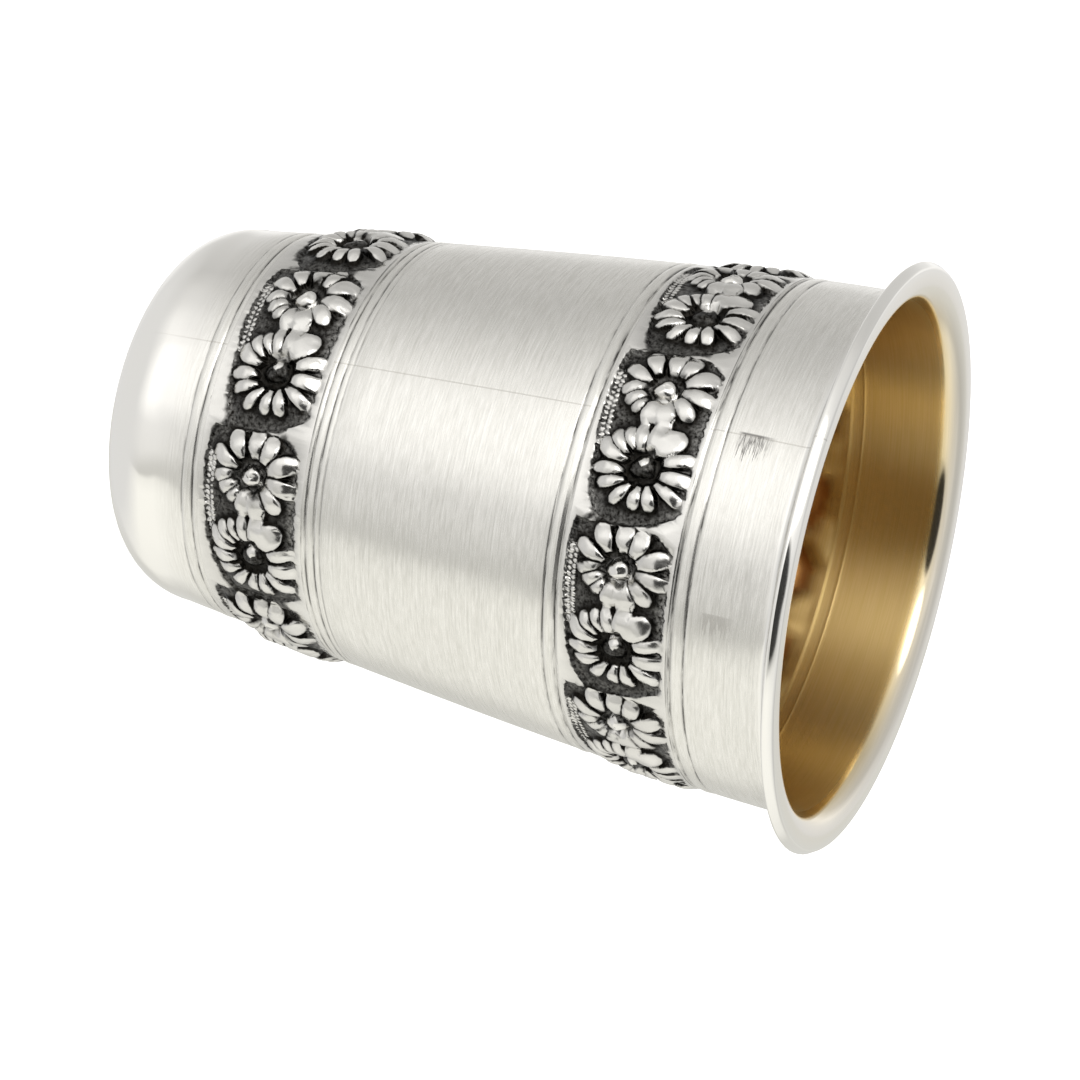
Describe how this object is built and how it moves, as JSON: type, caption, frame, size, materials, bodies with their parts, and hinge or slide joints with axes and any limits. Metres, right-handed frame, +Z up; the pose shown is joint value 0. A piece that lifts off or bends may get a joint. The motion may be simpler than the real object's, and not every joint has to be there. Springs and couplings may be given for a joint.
{
  "type": "kiddush cup",
  "caption": "Footless tapered silver beaker with a flared rounded lip, a rounded base edge, pressed bands of overlapping daisies and a gilt inside, for blessing and drinking wine.",
  "frame": {"origin": "middle of the flat underside", "axes": "+Z up along the cup's axis to its mouth; -Y faces the side that the picture shows"},
  "size_m": [0.0612, 0.0612, 0.08],
  "materials": {
    "silver": "satin-brushed sterling silver, blackened in the ground of the flower bands, gilt inside"
  },
  "bodies": {
    "root": {"cup": "silver"}
  },
  "joints": []
}
